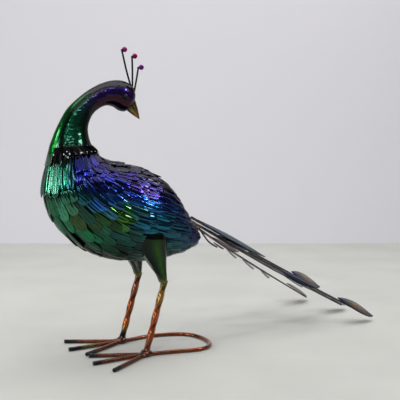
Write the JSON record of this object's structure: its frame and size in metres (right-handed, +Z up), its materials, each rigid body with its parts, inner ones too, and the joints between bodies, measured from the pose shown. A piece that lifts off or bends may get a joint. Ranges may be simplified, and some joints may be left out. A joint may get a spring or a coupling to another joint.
{
  "type": "peacock figurine",
  "caption": "Standing metal peacock looking back over its shoulder, with layered lacquered feathers, twisted bar legs, a floor loop and a long trailing tail.",
  "frame": {"origin": "middle of the figure's bounding box, on the surface it stands on", "axes": "+Z up, -X the way the breast faces, +X along the trailing tail, +Y the bird's right side"},
  "size_m": [0.4566, 0.1718, 0.3437],
  "materials": {
    "feather_green": "translucent green lacquer over bright metal, glossy",
    "feather_blue": "translucent royal blue lacquer over bright metal, glossy",
    "feather_teal": "translucent turquoise lacquer over bright metal, glossy",
    "core_black": "dark satin paint",
    "neck_lacquer": "hammered metal under green to violet lacquer, glossy",
    "beak_gold": "gold brown lacquer",
    "eye_black": "high gloss black",
    "wire_black": "gloss black paint",
    "bead_magenta": "metallic magenta paint",
    "thigh_green": "dark green lacquer, glossy",
    "leg_copper": "copper orange lacquer over twisted bar",
    "foot_bronze": "bronze brown lacquer, slightly rough",
    "tail_bronze": "dark bronze lacquer",
    "tail_gold_brown": "gold brown lacquer",
    "tail_slate": "slate blue lacquer"
  },
  "bodies": {
    "root": {"beak": "beak_gold", "body_shell": "core_black", "crest_bead_1": "bead_magenta", "crest_bead_2": "bead_magenta", "crest_bead_3": "bead_magenta", "crest_wire_1": "wire_black", "crest_wire_2": "wire_black", "crest_wire_3": "wire_black", "feather_row_01": "feather_green", "feather_row_02": "feather_green", "feather_row_03": "feather_green", "feather_row_04": "feather_blue", "feather_row_05": "feather_blue", "feather_row_06": "feather_blue", "feather_row_07": "feather_blue", "feather_row_08": "feather_teal", "feather_row_09": "feather_teal", "feather_row_10": "feather_teal", "left_eye": "eye_black", "left_inner_toe": "foot_bronze", "left_leg": "leg_copper", "left_middle_toe": "foot_bronze", "left_outer_toe": "foot_bronze", "left_thigh": "thigh_green", "neck_and_head": "neck_lacquer", "rear_loop": "foot_bronze", "right_eye": "eye_black", "right_inner_toe": "foot_bronze", "right_leg": "leg_copper", "right_middle_toe": "foot_bronze", "right_outer_toe": "foot_bronze", "right_thigh": "thigh_green", "tail_barb_left_1": "tail_slate", "tail_barb_left_2": "tail_slate", "tail_barb_left_3": "tail_slate", "tail_barb_left_4": "tail_slate", "tail_barb_middle_1": "tail_slate", "tail_barb_middle_2": "tail_slate", "tail_barb_middle_3": "tail_slate", "tail_barb_middle_4": "tail_slate", "tail_barb_right_1": "tail_slate", "tail_barb_right_2": "tail_slate", "tail_barb_right_3": "tail_slate", "tail_barb_right_4": "tail_slate", "tail_barb_short_1": "tail_slate", "tail_barb_short_2": "tail_slate", "tail_eye_left": "tail_gold_brown", "tail_eye_middle": "tail_gold_brown", "tail_eye_right": "tail_gold_brown", "tail_eye_short": "tail_gold_brown", "tail_leaf_hanging": "tail_bronze", "tail_stem_hanging": "tail_bronze", "tail_stem_left": "tail_bronze", "tail_stem_middle": "tail_bronze", "tail_stem_right": "tail_bronze", "tail_stem_short": "tail_bronze", "tail_strip_top": "tail_slate"}
  },
  "joints": []
}
